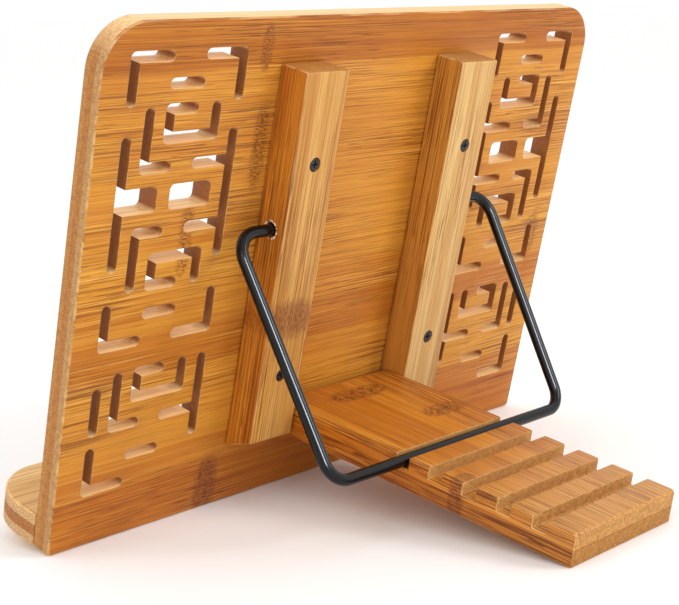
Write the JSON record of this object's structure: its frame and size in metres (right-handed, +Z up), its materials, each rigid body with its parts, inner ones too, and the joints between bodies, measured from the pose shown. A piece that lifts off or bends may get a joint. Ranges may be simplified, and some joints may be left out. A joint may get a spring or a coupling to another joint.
{
  "type": "photo album stand",
  "caption": "Folding stand that holds a photo album open: leaning back board with fretwork, a ledge along its foot, a hinged notched tail and a wire bail that sets the lean.",
  "frame": {"origin": "on the table, under the middle of the stand's bounding box", "axes": "+X across the stand's width, +Y from the ledge at the front to the tail at the rear, +Z up"},
  "size_m": [0.34, 0.24, 0.2348],
  "materials": {
    "board_bamboo": "satin clear lacquer",
    "batten_bamboo": "satin clear lacquer",
    "tail_bamboo": "satin clear lacquer",
    "dowel_wood": "bare",
    "wire_black": "satin gloss",
    "screw_black": "satin",
    "rod_steel": "brushed"
  },
  "bodies": {
    "stand": {"back_board": "board_bamboo", "album_ledge": "board_bamboo", "ledge_dowel_1": "dowel_wood", "ledge_dowel_2": "dowel_wood", "ledge_dowel_3": "dowel_wood", "ledge_dowel_4": "dowel_wood", "batten_left": "batten_bamboo", "batten_right": "batten_bamboo", "screw_left_upper": "screw_black", "screw_left_lower": "screw_black", "screw_right_upper": "screw_black", "screw_right_lower": "screw_black", "tail_pivot_rod": "rod_steel"},
    "tail": {"tail_board": "tail_bamboo"},
    "bail": {"wire_bail": "wire_black"}
  },
  "joints": [
    {"name": "tail_hinge", "type": "hinge", "parent": "stand", "child": "tail", "pos_m": [0, -0.05087, 0.04037], "axis": [1, 0, 0], "range_deg": [0, 86]},
    {"name": "bail_hinge", "type": "hinge", "parent": "stand", "child": "bail", "pos_m": [0, -0.02605, 0.13693], "axis": [-1, 0, 0], "range_deg": [-139, 0]}
  ]
}
